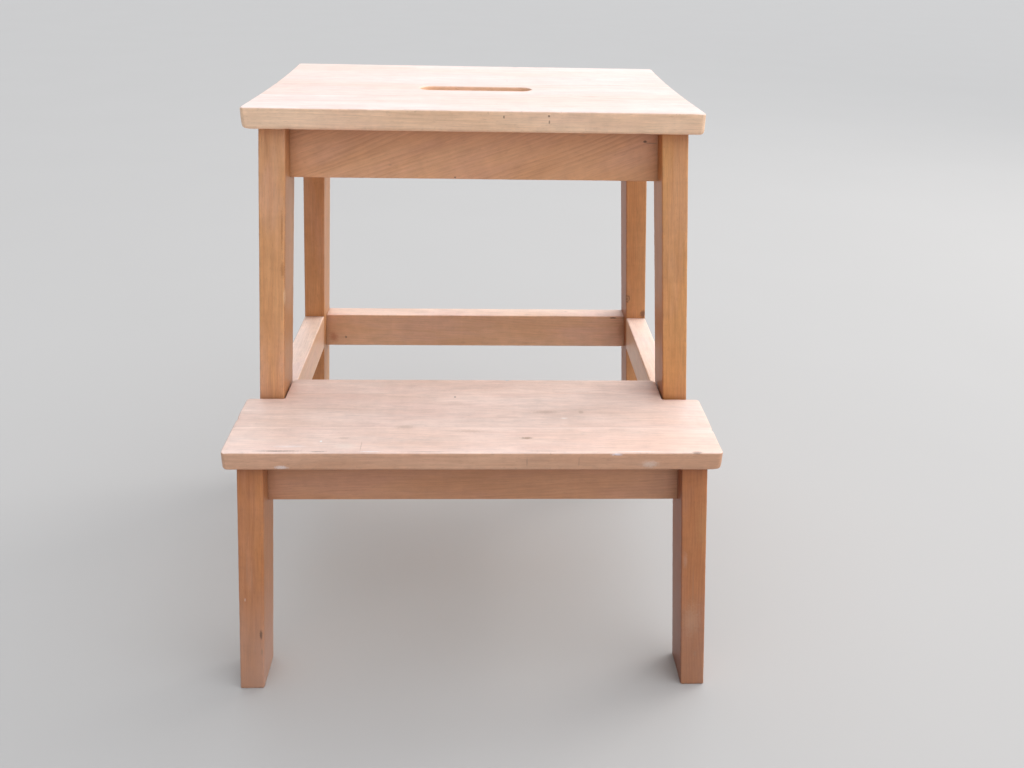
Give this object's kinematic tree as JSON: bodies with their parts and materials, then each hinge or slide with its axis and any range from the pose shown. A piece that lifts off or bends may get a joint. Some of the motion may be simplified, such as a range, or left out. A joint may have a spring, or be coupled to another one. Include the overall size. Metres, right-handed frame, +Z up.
{
  "type": "two-step wooden stool",
  "caption": "Free-standing wooden step stool with leaning side frames, a lower tread notched around the upper front legs, and a top tread with a hand hole.",
  "frame": {"origin": "on the floor, at the centre of the footprint", "axes": "+Z up; -Y is the side the user climbs from; +X is the user's right when facing the stool"},
  "size_m": [0.4298, 0.3898, 0.5],
  "materials": {
    "top_board_wood": "satin",
    "step_board_wood": "satin",
    "leg_wood": "satin",
    "rail_wood": "satin",
    "dowel_wood": "raw",
    "screw_steel": "zinc plated"
  },
  "bodies": {
    "root": {"barrel_nuts": "screw_steel", "connector_screws_left": "screw_steel", "connector_screws_right": "screw_steel", "front_apron": "rail_wood", "lower_front_leg_left": "leg_wood", "lower_front_leg_right": "leg_wood", "rail_dowels": "dowel_wood", "rear_apron": "rail_wood", "rear_leg_left": "leg_wood", "rear_leg_right": "leg_wood", "rear_rail": "rail_wood", "side_frame_dowels_left": "dowel_wood", "side_frame_dowels_right": "dowel_wood", "side_rail_left": "rail_wood", "side_rail_right": "rail_wood", "step_apron": "rail_wood", "step_board": "step_board_wood", "step_board_screws": "screw_steel", "top_board": "top_board_wood", "top_board_screws": "screw_steel", "top_side_rail_left": "rail_wood", "top_side_rail_right": "rail_wood", "upper_front_leg_left": "leg_wood", "upper_front_leg_right": "leg_wood"}
  },
  "joints": []
}
